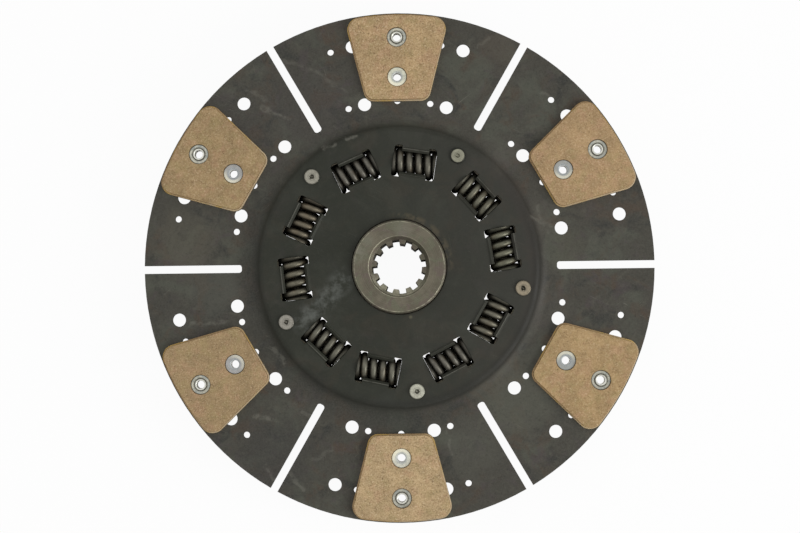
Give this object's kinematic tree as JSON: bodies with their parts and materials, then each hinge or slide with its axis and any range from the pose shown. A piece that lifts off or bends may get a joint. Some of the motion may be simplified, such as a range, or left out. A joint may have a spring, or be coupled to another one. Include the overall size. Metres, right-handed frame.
{
  "type": "clutch disc",
  "caption": "Dry clutch driven plate: pressed steel carrier with sintered friction pads on both faces and a splined hub sprung in a torsion damper of coil springs.",
  "frame": {"origin": "on the shaft's axis, at the hub's rear end face, on which the disc lies", "axes": "+Z along the shaft's axis towards the front of the disc, +Y through the middle of a friction pad"},
  "size_m": [0.33, 0.33, 0.04],
  "materials": {
    "phosphated_steel": "dark phosphated sheet steel, stained and finely scratched",
    "turned_steel": "turned steel, dull, slightly oxidised",
    "washer_fibre": "dark pressed fibre",
    "spring_steel": "blued spring steel",
    "coil_steel": "oil tempered wire, dark with soft highlights",
    "bare_pin_steel": "bare riveted steel",
    "zinc_plated_steel": "yellowish zinc plate",
    "copper_plated_steel": "thin copper plate on steel",
    "sintered_friction": "pressed and sintered metal powder, tan, open grain with dark specks"
  },
  "bodies": {
    "disc": {"carrier_disc": "phosphated_steel", "rear_retainer_plate": "phosphated_steel", "stop_pins": "bare_pin_steel", "pad_rivets_inner": "zinc_plated_steel", "pad_rivets_outer": "zinc_plated_steel", "friction_washer_front": "washer_fibre", "friction_washer_rear": "washer_fibre", "thrust_washer": "spring_steel", "load_spring": "spring_steel", "backing_plate_front_1": "copper_plated_steel", "backing_plate_front_2": "copper_plated_steel", "backing_plate_front_3": "copper_plated_steel", "backing_plate_front_4": "copper_plated_steel", "backing_plate_front_5": "copper_plated_steel", "backing_plate_front_6": "copper_plated_steel", "backing_plate_rear_1": "copper_plated_steel", "backing_plate_rear_2": "copper_plated_steel", "backing_plate_rear_3": "copper_plated_steel", "backing_plate_rear_4": "copper_plated_steel", "backing_plate_rear_5": "copper_plated_steel", "backing_plate_rear_6": "copper_plated_steel", "friction_pad_front_1": "sintered_friction", "friction_pad_front_2": "sintered_friction", "friction_pad_front_3": "sintered_friction", "friction_pad_front_4": "sintered_friction", "friction_pad_front_5": "sintered_friction", "friction_pad_front_6": "sintered_friction", "friction_pad_rear_1": "sintered_friction", "friction_pad_rear_2": "sintered_friction", "friction_pad_rear_3": "sintered_friction", "friction_pad_rear_4": "sintered_friction", "friction_pad_rear_5": "sintered_friction", "friction_pad_rear_6": "sintered_friction"},
    "hub": {"hub": "turned_steel"},
    "springs": {"damper_spring_01": "coil_steel", "damper_spring_02": "coil_steel", "damper_spring_03": "coil_steel", "damper_spring_04": "coil_steel", "damper_spring_05": "coil_steel", "damper_spring_06": "coil_steel", "damper_spring_07": "coil_steel", "damper_spring_08": "coil_steel", "damper_spring_09": "coil_steel", "damper_spring_10": "coil_steel"}
  },
  "joints": [
    {"name": "hub_twist", "type": "hinge", "parent": "disc", "child": "hub", "pos_m": [0, 0, 0.02], "axis": [0, 0, 1], "range_deg": [-4, 4], "stiffness_Nm_per_rad": 15800, "deforming": ["damper_spring_01", "damper_spring_02", "damper_spring_03", "damper_spring_04", "damper_spring_05", "damper_spring_06", "damper_spring_07", "damper_spring_08", "damper_spring_09", "damper_spring_10"]},
    {"name": "spring_follow", "type": "hinge", "parent": "disc", "child": "springs", "pos_m": [0, 0, 0.02], "axis": [0, 0, 1], "range_deg": [-2, 2]}
  ],
  "couplings": [
    {"joint": "spring_follow", "follows": "hub_twist", "ratio": 0.5}
  ]
}
